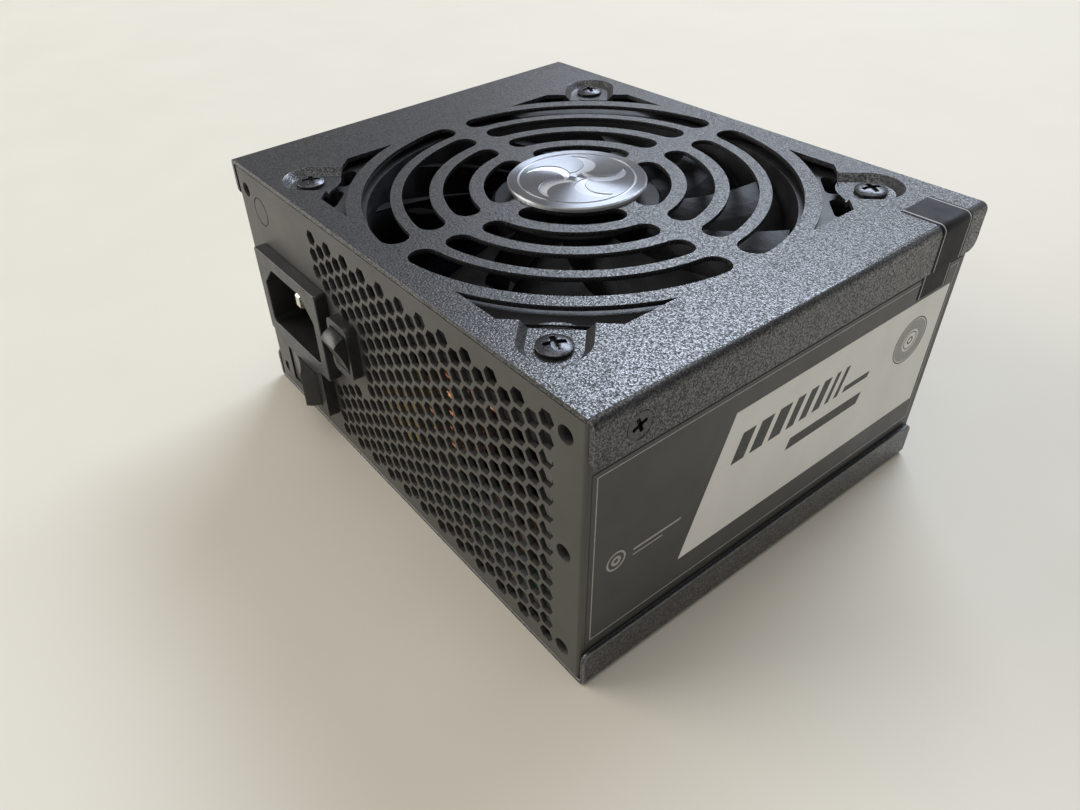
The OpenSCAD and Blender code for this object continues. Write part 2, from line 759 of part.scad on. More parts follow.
module fan_blade() {
    ns = 6;
    nc = 6;
    row = nc + 1;
    count = (ns + 1) * row;
    points = [for (side = [1, -1], i = [0:ns], j = [0:nc]) blade_point(i / ns, j / nc, side)];
    sheets = [for (i = [0:ns - 1], j = [0:nc - 1]) let (p = i * row + j) each [
        [p, p + 1, p + row + 1], [p, p + row + 1, p + row],
        [count + p, count + p + row + 1, count + p + 1], [count + p, count + p + row, count + p + row + 1]
    ]];
    rims = concat(
        [for (j = [0:nc - 1]) each rim_pair(j + 1, j, count)],
        [for (j = [0:nc - 1]) each rim_pair(ns * row + j, ns * row + j + 1, count)],
        [for (i = [0:ns - 1]) each rim_pair(i * row, (i + 1) * row, count)],
        [for (i = [0:ns - 1]) each rim_pair((i + 1) * row + nc, i * row + nc, count)]
    );
    polyhedron(points, [for (f = concat(sheets, rims)) [f[2], f[1], f[0]]]);
}

// Two triangles that join an edge of the upper sheet to the same edge of the lower one
function rim_pair(a, b, count) = [[a, b, count + b], [a, count + b, count + a]];

module fan_rotor() color("#232426") at_fan(fan_bot) {
    hub_lo = 3.2;
    hub_hi = 14.3;
    difference() {
        union() {
            translate([0, 0, hub_lo]) cylinder(r = hub_r, h = hub_hi - hub_lo - 0.8);
            translate([0, 0, hub_hi - 0.8]) cylinder(r1 = hub_r, r2 = hub_r - 0.8, h = 0.8);
        }
        translate([0, 0, hub_lo - over]) cylinder(r = hub_r - hub_wall, h = hub_hi - hub_lo - 1.4 + over);
        translate([0, 0, hub_lo]) cylinder(r = shaft_r, h = 10);
    }
    for (k = [0:blade_count - 1]) rotate([0, 0, k * 360 / blade_count]) fan_blade();
}

module fan_magnet() color("#35322f") at_fan(fan_bot + 3.6) difference() {
    magnet_r = hub_r - hub_wall - hair;
    magnet_t = 1.8;
    magnet_h = 7.6;
    cylinder(r = magnet_r, h = magnet_h);
    translate([0, 0, -over]) cylinder(r = magnet_r - magnet_t, h = magnet_h + 2 * over);
}

module fan_shaft() color("#c8c8c8") at_fan(fan_bot + 1.5) cylinder(r = shaft_r, h = 11.7);

module fan_bearing() color("#a8804c") at_fan(fan_bot + base_t) difference() {
    bearing_l = 7.9;
    cylinder(r = bearing_r - hair, h = bearing_l);
    translate([0, 0, -over]) cylinder(r = shaft_r + bearing_gap, h = bearing_l + 2 * over);
}

stator_z = 5;
stator_h = 4;
stator_r = 14;

// Four-pole stack of steel plates
module fan_stator() color("#8d8f92") at_fan(fan_bot + stator_z) difference() {
    linear_extrude(stator_h) {
        circle(6);
        for (k = [0:3]) rotate(90 * k) {
            translate([0, -1.6]) square([stator_r - 1, 3.2]);
            intersection() {
                difference() {
                    circle(stator_r);
                    circle(stator_r - 1.6);
                }
                polygon([[0, 0], [2 * stator_r, -1.3 * stator_r], [2 * stator_r, 1.3 * stator_r]]);
            }
        }
    }
    translate([0, 0, -over]) cylinder(r = tube_r + hair, h = stator_h + 2 * over);
}

module fan_coils() color("#b3662e") at_fan(fan_bot + stator_z) for (k = [0:3]) rotate([0, 0, 90 * k])
    translate([6.6, 0, stator_h / 2]) difference() {
        translate([0, -3.2, -stator_h / 2 - 1.4]) cube([5, 6.4, stator_h + 2.8]);
        translate([-over, -1.6, -stator_h / 2]) cube([6, 3.2, stator_h]);
    }

module fan_board() color("#2f5d3a") at_fan(fan_bot + base_t + hair) difference() {
    cylinder(r = 12.5, h = 1);
    translate([0, 0, -over]) cylinder(r = tube_r + hair, h = 2);
}

// Two-core lead from the fan's motor, under a strut and down to its plug on the board
lead_r = 1.1;
plug_lo = [20.9, -33.2, board_z];
plug_hi = [26.1, -28.8, 13.4];
lead_route = [[6, -9, fan_bot], [6, -9, 45.4], [6.6, -10.4, 44.3], [8, -13.6, 43.8], [11, -21, 43.6],
              [14.6, -30, 43.6], [17.6, -37, 43.2], [19.4, -40.4, 42], [20.8, -41, 39], [21.6, -39.6, 34],
              [22.6, -36, 26], [23.4, -32.4, 19], [23.5, -31, 15.5], [23.5, -31, plug_hi[2]]];
module fan_lead() color("#1d1d1d") {
    tube(lead_route, lead_r);
    box_between(plug_lo, plug_hi);
}

// ---------------------------------------------------------------- boards

module main_board() color("#1f4a2c") difference() {
    box_between([-board_x, board_y[0], board_lo], [board_x, board_y[1], board_z]);
    box_between([-board_x - over, board_y[0] - over, board_lo - over], [notch_x, notch_y, board_z + over]);
    for (p = standoff_at) translate([p[0], p[1], board_lo - over])
        cylinder(r = screw_r, h = board_t + 2 * over);
}

// Hexagonal pillars with a threaded hole down to a floor
module board_standoffs() color("#b59a54") for (p = standoff_at) translate([p[0], p[1], sheet_t])
    difference() {
        pillar_r = 3;
        cylinder(r = pillar_r, h = board_lo - sheet_t, $fn = 6);
        translate([0, 0, 0.5]) cylinder(r = screw_r, h = board_lo);
    }

module board_screws() color("#b9b9b9") for (p = standoff_at) translate([p[0], p[1], board_z]) {
    head = [2.8, 1.6];                  // radius and height
    shank = 5;
    difference() {
        cylinder(r = head[0], h = head[1]);
        translate([0, 0, head[1]]) cross_recess(3, 1);
    }
    translate([0, 0, -shank]) cylinder(r = screw_r, h = shank);
}

module insulation_sheet() color("#d9d4c0")
    box_between([-49.5, -46, sheet_t], [49.5, 36, sheet_t + 0.4]);

// Upright board that carries the output sockets
module socket_board() color("#1f4a2c") difference() {
    box_between([-57, socket_board_y, 6], [57, socket_board_y + socket_board_t, 44]);
    for (s = concat(board_sockets, eight_sockets, six_sockets)) at_cells(s)
        along_y(socket_board_y - over, socket_back + over) square(pin_w, center = true);
}

module control_board() color("#24553a") box_between([-19.2, 2, board_z], [-17.8, 32, 40]);

// ---------------------------------------------------------------- output sockets

function socket_size(cols) = [cols * cell_pitch + 2 * socket_wall - (cell_pitch - cell_w),
                              2 * cell_pitch + 2 * socket_wall - (cell_pitch - cell_w)];

// Places its children at the middle of each cell of a socket
module at_cells(s) {
    for (col = [0:s[2] - 1], row = [0, 1])
        translate([s[0] + (col - (s[2] - 1) / 2) * cell_pitch, 0, s[1] + (row - 0.5) * cell_pitch]) {
            $square_cell = (col + row) % 2 == 0;
            children();
        }
}

// One cell of a socket: square, or with its two lower corners cut off as a key
module cell() {
    w = cell_w / 2;
    key = 0.9;                          // size of a cut corner
    c = $square_cell ? 0.15 : key;
    polygon([[-w, w], [-w, c - w], [c - w, -w], [w - c, -w], [w, c - w], [w, w]]);
}

module socket(s) {
    size = socket_size(s[2]);
    difference() {
        union() {
            translate([s[0], 0, s[1]]) along_y(socket_back, socket_front) square(size, center = true);
            // Ramp that the plug's latch hooks over
            translate([s[0] - 1.8, 0, s[1] + size[1] / 2 - 0.3]) rotate([90, 0, 90]) linear_extrude(3.6)
                polygon([[socket_front, 0], [socket_front, 0.4], [socket_front - 0.5, 0.6],
                         [socket_front - 0.5, 0]]);
        }
        at_cells(s) {
            along_y(socket_floor, socket_front + over) cell();
            along_y(socket_back - over, socket_floor + over) square(pin_w, center = true);
        }
    }
}

module motherboard_sockets() color("#1a1a1a") for (s = board_sockets) socket(s);

module eight_pin_sockets() color("#1a1a1a") for (s = eight_sockets) socket(s);

module six_pin_socket() color("#1a1a1a") for (s = six_sockets) socket(s);

module socket_pins() color("#d6c58a") for (s = concat(board_sockets, eight_sockets, six_sockets))
    at_cells(s) along_y(socket_board_y - 1.2, pin_tip) square(pin_w, center = true);

// ---------------------------------------------------------------- parts on the board

// A toroid's core, flat on the XY plane; core is its inner radius, outer radius and height
module toroid_core(core) rotate_extrude() translate([core[0], -core[2] / 2])
    square([core[1] - core[0], core[2]]);

// Separate turns of wire round a toroid, over part of its circle
module toroid_turns(core, thick, turns, from, to) {
    slack = 0.1;                        // gap between the wire and the core
    inner = [core[1] - core[0] + 2 * slack, core[2] + 2 * slack];
    for (k = [0:turns - 1]) rotate([0, 0, from + (to - from) * k / (turns - 1)])
        translate([(core[0] + core[1]) / 2, 0, 0]) rotate([90, 0, 0])
            linear_extrude(0.9 * thick, center = true) difference() {
                square(inner + 2 * thick * [1, 1], center = true);
                square(inner, center = true);
            }
}

// Boost choke: a large toroid lying on the board
boost_core = [8.5, 15, 12];
boost_wire = 1.6;
boost_at = [17, -8, board_z + boost_core[2] / 2 + boost_wire + 0.1];
module boost_choke_core() color("#3f4244") translate(boost_at) toroid_core(boost_core);

module boost_choke_winding() color("#b4642c") translate(boost_at)
    toroid_turns(boost_core, boost_wire, 22, 15, 345);

// Filter choke: a smaller toroid that stands on edge just behind the vents, on a base
filter_core = [5.2, 9, 6];
filter_wire = 1.2;
filter_at = [14, -35.5, 29];
module filter_choke_core() color("#3d4a3c") translate(filter_at) rotate([0, 90, 0])
    toroid_core(filter_core);

module filter_choke_winding() color("#c0703a") translate(filter_at) rotate([0, 90, 0])
    toroid_turns(filter_core, filter_wire, 22, 0, 343);

module filter_choke_base() color("#1a1a1a") difference() {
    base = [7.2, 17];
    base_top = 21.5;
    cradle_r = filter_core[1] + filter_wire + 0.3;
    box_between([filter_at[0] - base[0] / 2, filter_at[1] - base[1] / 2, board_z],
                [filter_at[0] + base[0] / 2, filter_at[1] + base[1] / 2, base_top]);
    translate(filter_at) rotate([0, 90, 0]) cylinder(r = cradle_r, h = 2 * base[0], center = true);
}

// Main transformer: a ferrite shell with a taped bobbin in its window, which stands on
// the bobbin's two pin rails
transformer_at = [4, 21, board_z];
shell = [30, 18, 28];
shell_foot = 1;                         // gap between the shell and the board
window = [21, 18];
module transformer_core() color("#3a3a3c") translate(transformer_at) along_y(-shell[1] / 2, shell[1] / 2)
    translate([0, shell_foot + shell[2] / 2]) difference() {
        square([shell[0], shell[2]], center = true);
        square(window, center = true);
    }

module transformer_winding() color("#d2b04a") translate(transformer_at) {
    bobbin = [20.6, 17.6];
    overhang = 2;
    rail = [18, 1.6];
    middle = shell_foot + shell[2] / 2;
    along_y(-shell[1] / 2 - overhang, shell[1] / 2 + overhang)
        translate([0, middle]) rounded_rect(bobbin, 2.5);
    for (side = [0, 1]) mirror([0, side, 0])
        box_between([-rail[0] / 2, shell[1] / 2 + overhang - rail[1], 0],
                    [rail[0] / 2, shell[1] / 2 + overhang, middle - bobbin[1] / 2 + over]);
}

standby_at = [-30, 29.5, board_z];
module standby_transformer() color("#c9a63f") translate(standby_at) {
    coil = [13, 14];
    base = [17, 9, 2];
    along_y(-6, 6) translate([0, base[2] + coil[1] / 2]) rounded_rect(coil, 2);
    translate([0, 0, base[2] / 2]) cube(base, center = true);
}

// Cans of the two bulk capacitors, lying side by side
bulk_r = 11;
bulk_l = 36;
bulk_y = [-11, 12];
module bulk_capacitors() color("#2b2c33") for (y = bulk_y)
    translate([-57, y, board_z + bulk_r + 0.2]) rotate([0, 90, 0]) {
        cylinder(r = bulk_r, h = bulk_l);
        translate([0, 0, bulk_l]) cylinder(r = bulk_r - 0.7, h = 0.8);
    }

// Film capacitors: X and Y of the front of each, its width and depth
film_h = 15;
film_at = [[-9, -42, 15, 8], [-9, -31, 13, 7]];
module film_capacitors() color("#c9a437") for (f = film_at)
    translate([f[0], f[1], board_z]) along_y(0, f[3]) translate([0, film_h / 2])
        rounded_rect([f[2], film_h], 1);

// Disc capacitors that stand on their two leads
disc_r = 4.5;
disc_x = [28, 33, 38];
module disc_capacitors() color("#5a3420") for (x = disc_x) translate([x, -40, board_z]) {
    leg = 5.4;
    translate([0, 0, leg]) rotate([0, 90, 0]) cylinder(r = disc_r, h = 2.8, center = true);
    for (side = [-1, 1]) translate([0, side * disc_r / 2, 0]) cylinder(r = 0.35, h = leg);
}

// Finned plate that cools the rectifier and the primary transistors
sink_x = 44;
sink_t = 2.5;
sink_top = 43;
fin_t = 1.2;
module primary_heatsink() color("#b9bcc0") {
    box_between([sink_x, -44, board_z], [sink_x + sink_t, 14, sink_top]);
    for (y = [-42:5:13])
        box_between([sink_x + sink_t, y, board_z + 4], [sink_x + 9, y + fin_t, sink_top]);
}

module bridge_rectifier() color("#1e1e1e")
    box_between([sink_x - 4.6, -30, board_z + 3], [sink_x, -8, 32]);

// Two transistors clamped to the plate, each with a metal tab above its moulded body
module power_transistors() color("#232323") for (y = [-4, 3.2]) {
    w = 5.6;
    box_between([sink_x - 4.4, y, board_z + 8], [sink_x, y + w, 26]);
    box_between([sink_x - 1.3, y, 26], [sink_x, y + w, 31]);
}

module secondary_heatsink() color("#b9bcc0") {
    y = 34;
    top = 40;
    box_between([-14, y, board_z], [36, y + 2, top]);
    for (x = [21:4.4:35]) box_between([x, y - 7, board_z + 6], [x + 1, y, top]);
}

// Output capacitors in two rows, with a shallow dish in each top
module output_capacitors() color("#8a8d92") for (x = [39.4, 46.8, 54.2], y = [18, 25.6])
    translate([x, y, board_z]) difference() {
        can = [3.6, 13];
        cylinder(r = can[0], h = can[1]);
        translate([0, 0, can[1] - 0.3]) cylinder(r = can[0] - 0.5, h = over);
    }

// Bars that carry the output current from the main board to the socket board
module busbars() color("#b87333") for (x = [-50.5, -44, 38, 44.5]) {
    w = 5;
    t = 1.2;
    top = 24;
    box_between([x, socket_board_y - 4, board_z], [x + w, socket_board_y - 4 + t, top]);
    box_between([x, socket_board_y - 4 + t, top - t], [x + w, socket_board_y, top]);
}

// ---------------------------------------------------------------- inlet wires

wire_r = 1.15;
low_z = inlet_at[1] + blades[0][1];     // height of the live and neutral blades
earth_z = inlet_at[1] + blades[2][1];
live_x = inlet_at[0] + blades[0][0];
neutral_x = inlet_at[0] + blades[1][0];
earth_x = inlet_at[0];
tab_y = front_y + switch_depth + tab_size[1];
in_x = power_at[0] + power_tabs[0];     // the power switch's two tabs
out_x = power_at[0] + power_tabs[1];
tab_z = power_at[1];

// A wire's last stretch, straight down to the board
function to_board(x) = [[x, drop_y, board_z + 2], [x, drop_y, board_z]];

module live_wires() color("#6a3f24") {
    tube([[live_x, blade_tail_y, low_z], [live_x, blade_tail_y + 2.6, low_z],
          [live_x, drop_y - 0.6, low_z - 1.6], [live_x + 0.4, drop_y, low_z - 5],
          [in_x - 0.4, drop_y - 0.4, tab_z + 6], [in_x, drop_y - 1.8, tab_z + 2],
          [in_x, drop_y - 3.8, tab_z], [in_x, tab_y, tab_z]], wire_r);
    tube(concat([[out_x, tab_y, tab_z], [out_x, tab_y + 2.6, tab_z], [out_x + 1.2, tab_y + 4.8, 14.2],
                 [out_x + 4.6, drop_y - 0.2, 13.2], [out_x + 7.4, drop_y, 11.8]], to_board(-27.5)), wire_r);
}

module neutral_wire() color("#2b4f8f")
    tube(concat([[neutral_x, blade_tail_y, low_z], [neutral_x, blade_tail_y + 2.6, low_z],
                 [neutral_x + 0.6, drop_y - 0.6, low_z - 1.6], [-27.5, drop_y, 26], [-25, drop_y, 19],
                 [-23.7, drop_y, 13]], to_board(-23.5)), wire_r);

module earth_wire() color("#6f8f2c")
    tube(concat([[earth_x, blade_tail_y, earth_z], [earth_x, blade_tail_y + 2.4, earth_z],
                 [earth_x + 1.8, drop_y - 0.5, earth_z], [-29, drop_y + 0.5, 34.8],
                 [-23, drop_y + 0.6, 30], [-19.8, drop_y + 0.4, 22], [-18.7, drop_y, 14]],
                to_board(-18.5)), wire_r);

// ---------------------------------------------------------------- one line for each piece

top_cover();
main_frame();
bottom_tray();
output_panel();
cover_screws();
tray_screws();
panel_rivets();
fan_screws();
badge();
side_label();
side_label_panel();
rating_label();
warranty_seal();
inlet_housing();
inlet_pins();
power_switch_frame();
power_switch_rocker();
power_switch_contacts();
mode_switch_frame();
mode_switch_rocker();
mode_switch_contacts();
fan_frame();
fan_rotor();
fan_magnet();
fan_shaft();
fan_bearing();
fan_stator();
fan_coils();
fan_board();
fan_lead();
main_board();
board_standoffs();
board_screws();
insulation_sheet();
primary_heatsink();
secondary_heatsink();
bulk_capacitors();
transformer_core();
transformer_winding();
boost_choke_core();
boost_choke_winding();
filter_choke_core();
filter_choke_winding();
filter_choke_base();
film_capacitors();
disc_capacitors();
bridge_rectifier();
power_transistors();
output_capacitors();
standby_transformer();
control_board();
socket_board();
busbars();
motherboard_sockets();
eight_pin_sockets();
six_pin_socket();
socket_pins();
live_wires();
neutral_wire();
earth_wire();
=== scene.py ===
"""Looks of a small power supply unit: camera, light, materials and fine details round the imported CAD."""
import json
import math

import bmesh
import bpy
from mathutils import Matrix, Vector
from mathutils.bvhtree import BVHTree


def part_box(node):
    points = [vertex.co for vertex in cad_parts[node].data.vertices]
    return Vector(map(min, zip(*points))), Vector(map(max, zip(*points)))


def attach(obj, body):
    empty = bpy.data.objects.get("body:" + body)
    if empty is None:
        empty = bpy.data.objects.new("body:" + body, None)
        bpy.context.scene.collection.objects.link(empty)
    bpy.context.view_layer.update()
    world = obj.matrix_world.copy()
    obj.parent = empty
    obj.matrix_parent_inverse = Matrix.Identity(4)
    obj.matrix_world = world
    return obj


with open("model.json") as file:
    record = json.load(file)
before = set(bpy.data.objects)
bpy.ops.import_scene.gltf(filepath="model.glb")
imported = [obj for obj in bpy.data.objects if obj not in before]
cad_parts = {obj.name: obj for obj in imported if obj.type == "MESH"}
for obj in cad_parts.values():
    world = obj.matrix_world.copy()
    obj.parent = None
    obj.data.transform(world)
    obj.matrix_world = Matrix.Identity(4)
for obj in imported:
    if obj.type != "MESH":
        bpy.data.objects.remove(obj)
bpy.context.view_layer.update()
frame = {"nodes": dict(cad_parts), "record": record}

MM = 0.001
NODES = frame["nodes"]
SLOT_OF = {part["node"]: part["material_slot"] for part in frame["record"]["subparts"]}


# ---------------------------------------------------------------- camera, floor and light


def add_object(name, data):
    """Puts new data into the scene as an object."""
    piece = bpy.data.objects.new(name, data)
    bpy.context.scene.collection.objects.link(piece)
    return piece


def facing(at, target, roll=0.0):
    """Matrix of something at one point that looks at another, rolled clockwise by degrees."""
    turn = (Vector(target) - Vector(at)).to_track_quat("-Z", "Y").to_matrix().to_4x4()
    return Matrix.Translation(at) @ turn @ Matrix.Rotation(math.radians(-roll), 4, "Z")


def make_camera():
    """The photograph's view, solved from the housing's edges."""
    place, target = (0.12505, -0.11115, 0.13824), (0.02004, -0.04162, 0.03955)
    data = bpy.data.cameras.new("camera")
    data.sensor_width = 36.0
    data.lens = 27.83
    data.shift_x = 0.0633
    data.shift_y = -0.0136
    data.clip_start = 0.01
    camera = add_object("camera", data)
    camera.matrix_world = facing(place, target, roll=4.08)
    bpy.context.scene.camera = camera


# Soft boxes: angle from -X towards +Y, angle above the floor, distance, width and height, power, colour
LIGHTS = {
    "window": (64, 44, 3.0, (1.9, 0.95), 70, (0.76, 0.85, 1.0)),
    "wall": (75, 18, 3.0, (4.2, 1.06), 3, (0.86, 0.92, 1.0)),
    "ceiling": (225, 84, 2.5, (2.0, 2.0), 16, (1.0, 0.98, 0.95)),
    "lamp": (-43, 22, 3.0, (2.2, 1.6), 60, (1.0, 0.96, 0.9)),
}
LIT_POINT = (0, 0, 0.03)                # inside the housing, where every light aims


def make_light(name, around, up, distance, size, power, colour):
    """A rectangular soft box that faces the object, placed by its angles in degrees."""
    around, up = math.radians(around), math.radians(up)
    level = distance * math.cos(up)
    at = (-level * math.cos(around), level * math.sin(around), distance * math.sin(up))
    data = bpy.data.lights.new(name, "AREA")
    data.shape = "RECTANGLE"
    data.size, data.size_y = size
    data.energy = power
    data.color = colour
    lamp = add_object(name, data)
    lamp.matrix_world = facing(at, LIT_POINT)


def make_studio():
    """Even pale light from all round, and the soft boxes."""
    scene = bpy.context.scene
    scene.view_settings.view_transform = "Standard"
    world = bpy.data.worlds.new("studio")
    scene.world = world
    world.use_nodes = True
    sky = world.node_tree.nodes["Background"]
    sky.inputs["Color"].default_value = (1.0, 0.985, 0.97, 1)
    sky.inputs["Strength"].default_value = 0.29
    for name, light in LIGHTS.items():
        make_light(name, *light)


def make_floor():
    """A plain pale square under the object."""
    half = 3.0                          # half its side, in metres
    corners = [(-half, -half, 0), (half, -half, 0), (half, half, 0), (-half, half, 0)]
    mesh = bpy.data.meshes.new("floor")
    mesh.from_pydata(corners, [], [(0, 1, 2, 3)])
    floor = add_object("floor", mesh)
    floor.data.materials.append(floor_look())


# ---------------------------------------------------------------- building materials


class Look:
    """A material being put together. Sizes are in millimetres, and most methods give a node's output."""

    def __init__(self, name, colour, roughness, **fixed):
        self.material = bpy.data.materials.new(name)
        self.material.use_nodes = True
        self.material.diffuse_color = (*colour, 1)
        self.tree = self.material.node_tree
        self.shader = self.tree.nodes["Principled BSDF"]
        self.set("Base Color", (*colour, 1))
        self.set("Roughness", roughness)
        for socket, value in fixed.items():
            self.set(socket.replace("_", " "), value)
        self.place = self.add("TexCoord").outputs["Object"]

    def set(self, socket, value):
        """Sets one of the shader's sockets to a number, or feeds it from a node."""
        feed(self.tree, value, self.shader.inputs[socket])

    def add(self, kind, inputs=(), **settings):
        """A new node with its settings made and its sockets fed."""
        node = self.tree.nodes.new("ShaderNode" + kind)
        for key, value in settings.items():
            setattr(node, key, value)
        for key, value in dict(inputs).items():
            feed(self.tree, value, node.inputs[key])
        return node

    def stretched(self, stretch):
        """The object's coordinates, with each axis scaled."""
        return self.add("Mapping", {"Vector": self.place, "Scale": stretch}).outputs["Vector"]

    def noise(self, size, detail=2.0, rough=0.5, place=None):
        """Soft noise with patches of about this size."""
        inputs = {"Vector": place or self.place, "Scale": 1 / (size * MM)}
        inputs.update({"Detail": detail, "Roughness": rough})
        return self.add("TexNoise", inputs).outputs["Fac"]

    def cells(self, size, feature):
        """Distance from the middle (F1) or the edge of irregular cells of about this size."""
        inputs = {"Vector": self.place, "Scale": 1 / (size * MM)}
        return self.add("TexVoronoi", inputs, feature=feature).outputs["Distance"]

    def between(self, value, low, high, start=0.0, end=1.0):
        """Maps start..end to low..high, and holds it there outside."""
        inputs = {"Value": value, "From Min": start, "From Max": end, "To Min": low, "To Max": high}
        return self.add("MapRange", inputs).outputs["Result"]

    def spread(self, noise, low=0.0, high=1.0):
        """Maps the middle of a noise's range, where nearly all of it lies, to low..high."""
        return self.between(noise, low, high, 0.3, 0.7)

    def maths(self, operation, a, b=0.0):
        """One sum on two numbers or outputs."""
        return self.add("Math", {0: a, 1: b}, operation=operation).outputs["Value"]

    def blend(self, factor, a, b):
        """Colour a where the factor is 0 and colour b where it is 1."""
        node = self.add("Mix", {0: factor, 6: whole(a), 7: whole(b)}, data_type="RGBA")
        return node.outputs[2]

    def axis(self, name):
        """The X, Y or Z of the object's coordinates."""
        return self.add("SeparateXYZ", {0: self.place}).outputs[name]

    def bump(self, height, depth, under=None):
        """Normal of the surface raised by depth where the height is 1, over the normal under it."""
        inputs = {"Height": height, "Strength": 1.0, "Distance": depth * MM}
        if under is not None:
            inputs["Normal"] = under
        return self.add("Bump", inputs).outputs["Normal"]

    def mottled(self, dark, light, size, detail=3.0):
        """Feeds the base colour with soft patches between two colours."""
        self.set("Base Color", self.blend(self.spread(self.noise(size, detail)), dark, light))

    def worn(self, low, high, size, detail=3.0):
        """Feeds the roughness with soft patches between two values."""
        self.set("Roughness", self.spread(self.noise(size, detail), low, high))


def whole(colour):
    """A colour of three numbers with its alpha, or a socket as it is."""
    return (*colour, 1) if isinstance(colour, tuple) and len(colour) == 3 else colour


def feed(tree, value, socket):
    """Links a node's output to a socket, or sets the socket to a plain value."""
    if isinstance(value, bpy.types.NodeSocket):
        tree.links.new(value, socket)
    else:
        socket.default_value = value


def floor_look():
    """Pale matt paper with faint patches."""
    look = Look("floor", (0.7, 0.66, 0.57), 0.6, Specular_IOR_Level=0.15)
    look.mottled((0.69, 0.65, 0.56), (0.71, 0.67, 0.58), 60)
    look.worn(0.5, 0.62, 25)
    look.set("Normal", look.bump(look.noise(0.8), 0.004))
    return look.material


def coarse_paint():
    """Black powder coat of small round grains that shine, on the cover and the tray."""
    look = Look("coarse_black_powder_coat", (0.02, 0.0205, 0.022), 0.3, Coat_Roughness=0.26)
    grain_size, sand_size, grain_depth = 0.42, 0.3, 0.05
    from_middle = look.cells(grain_size, "F1")
    hollows = look.maths("MULTIPLY", from_middle, from_middle)
    sand = look.noise(sand_size, 2.0, 0.6)
    relief = look.maths("SUBTRACT", look.maths("MULTIPLY", sand, 0.5), hollows)
    hollow_dulling_and_shade = look.maths("MULTIPLY", hollows, 0.3)
    shine = look.between(look.maths("SUBTRACT", sand, hollow_dulling_and_shade), 0, 1, 0.34, 0.56)
    # The base colour is a little lighter on the shining grain tops, a painted glint, and darker in the
    # hollows between grains, a painted shade, besides the grain's own tone
    look.set("Base Color", look.blend(shine, (0.016, 0.016, 0.0175), (0.025, 0.0255, 0.0275)))
    look.set("Specular IOR Level", look.between(shine, 0.35, 1.0))
    look.set("Coat Weight", look.maths("MULTIPLY", shine, 0.7))
    patches = look.between(look.noise(18, 3.0), -0.03, 0.03)
    look.set("Roughness", look.maths("ADD", look.between(shine, 0.42, 0.28), patches))
    look.set("Normal", look.bump(relief, grain_depth))
    return look.material


def satin_paint(name, dark, light, low, high):
    """Fine powder coat with hardly any grain, on the panels."""
    look = Look(name, light, high, Specular_IOR_Level=0.5)
    look.mottled(dark, light, 14)
    look.worn(low, high, 9)
    fine = look.bump(look.noise(0.16, 3.0), 0.012)
    look.set("Normal", look.bump(look.noise(2.2), 0.006, fine))
    return look.material


def edge_highlight_paint(name, colour):
    """Lighter, glossier paint for rounded edges: a painted highlight along them."""
    look = Look(name, colour, 0.32, Specular_IOR_Level=0.7)
    look.mottled(tuple(0.6 * c for c in colour), tuple(1.3 * c for c in colour), 1.2)
    look.worn(0.26, 0.42, 0.6)
    return look.material


def spun_metal(node):
    """Metal turned on a lathe, with its engraving left matt."""
    low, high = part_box(node)
    centre = (low + high) / 2
    look = Look("spun_badge_metal", (0.4, 0.41, 0.44), 0.34, Metallic=1.0, Anisotropic=0.9)
    axis = (centre.x, centre.y, 0)
    away = look.add("VectorMath", {0: look.place, 1: axis}, operation="SUBTRACT").outputs[0]
    flat = look.add("VectorMath", {0: away, 1: (1, 1, 0)}, operation="MULTIPLY").outputs[0]
    radius = look.add("VectorMath", {0: flat}, operation="LENGTH").outputs["Value"]
    groove_size = 0.12 * MM
    by_radius = {"W": radius, "Scale": 1 / groove_size, "Detail": 3.0}
    groove = look.add("TexNoise", by_radius, noise_dimensions="1D").outputs["Fac"]
    # From the bottom of the engraving to a little under the face
    bottom, top = high.z - 0.15 * MM, high.z - 0.05 * MM
    engraved = look.between(look.axis("Z"), 1, 0, bottom, top)
    turned = look.blend(look.spread(groove), (0.17, 0.175, 0.19), (0.32, 0.33, 0.35))
    look.set("Base Color", look.blend(engraved, turned, (0.5, 0.51, 0.53)))
    look.set("Roughness", look.between(engraved, 0.3, 0.5))
    look.set("Normal", look.bump(groove, 0.004))
    look.set("Tangent", look.add("VectorMath", {0: flat}, operation="NORMALIZE").outputs[0])
    return look.material


def plastic(name, dark, light, low, high, grain=0.3, relief=0.02, **fixed):
    """Moulded plastic with a fine etched surface."""
    look = Look(name, light, high, **fixed)
    look.mottled(dark, light, 7)
    look.worn(low, high, 4)
    etched = look.bump(look.noise(grain, 3.0), relief)
    look.set("Normal", look.bump(look.noise(5), 0.03, etched))
    return look.material


def metal(name, dark, light, low, high, stretch=(1, 1, 1), size=0.4, relief=0.008):
    """Bare or plated metal, brushed along the axis with the smallest stretch, or mottled without one."""
    look = Look(name, light, high, Metallic=1.0)
    along = look.stretched(stretch)
    streaks = look.noise(size, 3.0, 0.6, along)
    look.set("Base Color", look.blend(look.spread(streaks), dark, light))
    brushed = look.spread(streaks, low, high)
    look.set("Roughness", look.maths("ADD", brushed, look.between(look.noise(6), -0.04, 0.04)))
    look.set("Normal", look.bump(streaks, relief))
    return look.material


def film(name, dark, light, low, high, coat=0.0):
    """Label film or sheet, nearly flat, with a faint ripple in its gloss."""
    look = Look(name, light, high, Coat_Weight=coat, Coat_Roughness=0.12)
    look.mottled(dark, light, 10)
    look.worn(low, high, 6)
    fine = look.bump(look.noise(0.35, 2.0), 0.004)
    look.set("Normal", look.bump(look.noise(9), 0.05, fine))
    return look.material


